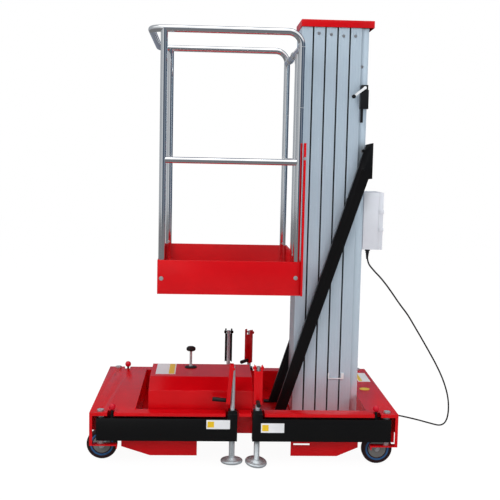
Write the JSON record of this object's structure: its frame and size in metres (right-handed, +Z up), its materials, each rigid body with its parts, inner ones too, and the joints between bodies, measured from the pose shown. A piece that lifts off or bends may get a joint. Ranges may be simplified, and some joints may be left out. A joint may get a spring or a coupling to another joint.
{
  "type": "vertical mast lift",
  "caption": "Wheeled vertical mast lift with a sliding aluminium mast, a railed tray platform, and swing-out arms with screw jacks.",
  "frame": {"origin": "on the floor under the middle of the part's box, the supply cord left out", "axes": "+X along the base towards the mast, +Y to the far side, +Z up"},
  "size_m": [1.735, 1.1245, 1.967],
  "materials": {
    "red_paint": "gloss",
    "black_paint": "satin",
    "mast_aluminium": "satin",
    "bright_tube": "gloss",
    "galvanised": "satin",
    "zinc_steel": "satin",
    "tyre_rubber": "matte",
    "wheel_blue": "satin",
    "black_rubber": "matte",
    "black_plastic": "satin",
    "knob_red": "gloss",
    "box_grey": "satin",
    "pack_dark": "satin",
    "cord_black": "matte"
  },
  "bodies": {
    "chassis": {"base_frame": "red_paint", "floor_pan": "red_paint", "pins_and_stub_axles": "zinc_steel", "caster_plates": "zinc_steel", "power_unit_cover": "red_paint", "power_pack": "pack_dark", "cover_grommet": "black_rubber", "lowering_knob": "black_plastic", "mast_section_5": "mast_aluminium", "mast_braces": "black_paint", "section_lock_bracket": "zinc_steel", "limit_switch": "black_plastic", "control_box": "box_grey", "cord_gland": "black_plastic", "supply_cord": "cord_black", "cord_coil": "cord_black", "cord_plug": "black_plastic"},
    "control_lid": {"control_box_lid": "box_grey"},
    "mast_stage_4": {"mast_section_4": "mast_aluminium"},
    "mast_stage_3": {"mast_section_3": "mast_aluminium"},
    "mast_stage_2": {"mast_section_2": "mast_aluminium"},
    "platform": {"mast_section_1": "mast_aluminium", "mast_cap": "red_paint", "platform_tray": "red_paint", "platform_back_frame": "red_paint", "top_rail": "bright_tube", "left_posts": "bright_tube", "middle_post": "bright_tube", "mid_rails": "bright_tube", "rail_fittings": "zinc_steel"},
    "caster_near": {"caster_fork_near": "zinc_steel"},
    "caster_far": {"caster_fork_far": "zinc_steel"},
    "arm_left_near_body": {"arm_left_near": "black_paint", "arm_lock_knob_left_near": "knob_red"},
    "jack_left_near_body": {"jack_screw_left_near": "galvanised", "jack_crank_left_near": "red_paint", "crank_grip_left_near": "black_rubber"},
    "wheel_left_near_body": {"tyre_left_near": "tyre_rubber", "wheel_hub_left_near": "wheel_blue"},
    "arm_left_far_body": {"arm_left_far": "black_paint", "arm_lock_knob_left_far": "knob_red"},
    "jack_left_far_body": {"jack_screw_left_far": "galvanised", "jack_crank_left_far": "red_paint", "crank_grip_left_far": "black_rubber"},
    "wheel_left_far_body": {"tyre_left_far": "tyre_rubber", "wheel_hub_left_far": "wheel_blue"},
    "arm_right_near_body": {"arm_right_near": "black_paint", "arm_lock_knob_right_near": "knob_red"},
    "jack_right_near_body": {"jack_screw_right_near": "galvanised", "jack_crank_right_near": "red_paint", "crank_grip_right_near": "black_rubber"},
    "wheel_right_near_body": {"tyre_right_near": "tyre_rubber", "wheel_hub_right_near": "wheel_blue"},
    "arm_right_far_body": {"arm_right_far": "black_paint", "arm_lock_knob_right_far": "knob_red"},
    "jack_right_far_body": {"jack_screw_right_far": "galvanised", "jack_crank_right_far": "red_paint", "crank_grip_right_far": "black_rubber"},
    "wheel_right_far_body": {"tyre_right_far": "tyre_rubber", "wheel_hub_right_far": "wheel_blue"}
  },
  "joints": [
    {"name": "lid_hinge", "type": "hinge", "parent": "chassis", "child": "control_lid", "pos_m": [0.626, 0.1075, 1.064], "axis": [0, 0, 1], "range_deg": [0, 110]},
    {"name": "lift_mast_stage_4", "type": "slide", "parent": "chassis", "child": "mast_stage_4", "axis": [0, 0, 1], "range_m": [0, 1.45]},
    {"name": "lift_mast_stage_3", "type": "slide", "parent": "mast_stage_4", "child": "mast_stage_3", "axis": [0, 0, 1], "range_m": [0, 1.45]},
    {"name": "lift_mast_stage_2", "type": "slide", "parent": "mast_stage_3", "child": "mast_stage_2", "axis": [0, 0, 1], "range_m": [0, 1.45]},
    {"name": "lift_platform", "type": "slide", "parent": "mast_stage_2", "child": "platform", "axis": [0, 0, 1], "range_m": [0, 1.45]},
    {"name": "caster_near_swivel", "type": "hinge", "parent": "chassis", "child": "caster_near", "pos_m": [-0.597, -0.3, 0.15], "axis": [0, 0, 1], "continuous": true},
    {"name": "caster_far_swivel", "type": "hinge", "parent": "chassis", "child": "caster_far", "pos_m": [-0.597, 0.3, 0.15], "axis": [0, 0, 1], "continuous": true},
    {"name": "wheel_left_near_spin", "type": "hinge", "parent": "caster_near", "child": "wheel_left_near_body", "pos_m": [-0.615, -0.3, 0.068], "axis": [0, 1, 0], "continuous": true},
    {"name": "arm_left_near_swing", "type": "hinge", "parent": "chassis", "child": "arm_left_near_body", "pos_m": [-0.611, -0.398, 0.167], "axis": [0, 0, -1], "range_deg": [0, 95]},
    {"name": "jack_left_near_screw", "type": "slide", "parent": "arm_left_near_body", "child": "jack_left_near_body", "axis": [0, 0, 1], "range_m": [-0.015, 0.05]},
    {"name": "wheel_left_far_spin", "type": "hinge", "parent": "caster_far", "child": "wheel_left_far_body", "pos_m": [-0.615, 0.3, 0.068], "axis": [0, 1, 0], "continuous": true},
    {"name": "arm_left_far_swing", "type": "hinge", "parent": "chassis", "child": "arm_left_far_body", "pos_m": [-0.611, 0.398, 0.167], "axis": [0, 0, 1], "range_deg": [0, 95]},
    {"name": "jack_left_far_screw", "type": "slide", "parent": "arm_left_far_body", "child": "jack_left_far_body", "axis": [0, 0, 1], "range_m": [-0.015, 0.05]},
    {"name": "wheel_right_near_spin", "type": "hinge", "parent": "chassis", "child": "wheel_right_near_body", "pos_m": [0.606, -0.345, 0.068], "axis": [0, 1, 0], "continuous": true},
    {"name": "arm_right_near_swing", "type": "hinge", "parent": "chassis", "child": "arm_right_near_body", "pos_m": [0.637, -0.398, 0.167], "axis": [0, 0, 1], "range_deg": [0, 95]},
    {"name": "jack_right_near_screw", "type": "slide", "parent": "arm_right_near_body", "child": "jack_right_near_body", "axis": [0, 0, 1], "range_m": [-0.015, 0.05]},
    {"name": "wheel_right_far_spin", "type": "hinge", "parent": "chassis", "child": "wheel_right_far_body", "pos_m": [0.606, 0.345, 0.068], "axis": [0, 1, 0], "continuous": true},
    {"name": "arm_right_far_swing", "type": "hinge", "parent": "chassis", "child": "arm_right_far_body", "pos_m": [0.637, 0.398, 0.167], "axis": [0, 0, -1], "range_deg": [0, 95]},
    {"name": "jack_right_far_screw", "type": "slide", "parent": "arm_right_far_body", "child": "jack_right_far_body", "axis": [0, 0, 1], "range_m": [-0.015, 0.05]}
  ],
  "couplings": [
    {"joint": "lift_mast_stage_3", "follows": "lift_mast_stage_4", "ratio": 1},
    {"joint": "lift_mast_stage_2", "follows": "lift_mast_stage_4", "ratio": 1},
    {"joint": "lift_platform", "follows": "lift_mast_stage_4", "ratio": 1}
  ]
}
